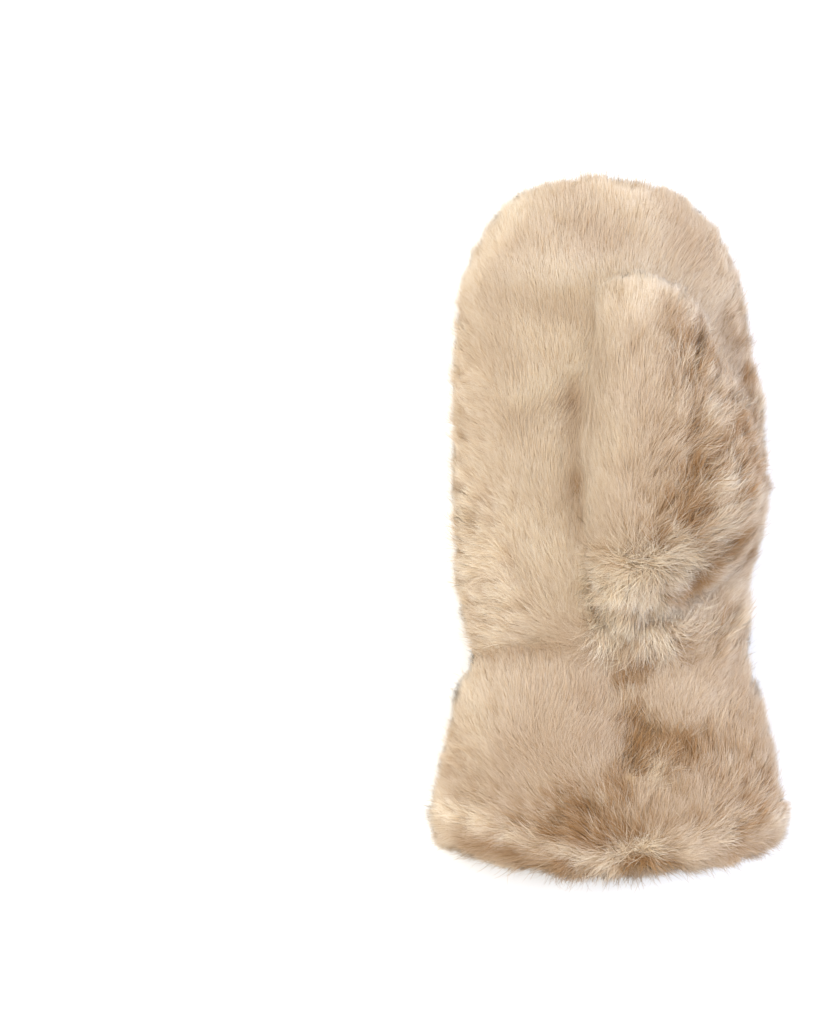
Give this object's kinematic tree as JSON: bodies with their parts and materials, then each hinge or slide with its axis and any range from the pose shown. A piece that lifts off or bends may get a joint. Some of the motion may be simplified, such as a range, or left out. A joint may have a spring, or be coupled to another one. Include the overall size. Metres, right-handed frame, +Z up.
{
  "type": "faux fur mitten",
  "caption": "Deep-pile faux fur mitten for the right hand, with a gathered wrist, a wide cuff and a thumb folded over the palm.",
  "frame": {"origin": "centre of the mitten's footprint, on the surface it lies on with its palm up", "axes": "+X to the thumb's side, +Y from the hem to the fingertips, +Z up out of the palm"},
  "size_m": [0.136, 0.2773, 0.0725],
  "materials": {
    "back_fur": "deep faux fur pile on a knitted backing, cream beige",
    "palm_fur": "deep faux fur pile on a knitted backing, cream beige",
    "heel_fur": "deep faux fur pile on a knitted backing, cream beige",
    "thumb_fur": "deep faux fur pile on a knitted backing, cream beige"
  },
  "bodies": {
    "root": {"back_panel": "back_fur", "palm_panel": "palm_fur", "heel_panel": "heel_fur", "thumb": "thumb_fur"}
  },
  "joints": []
}
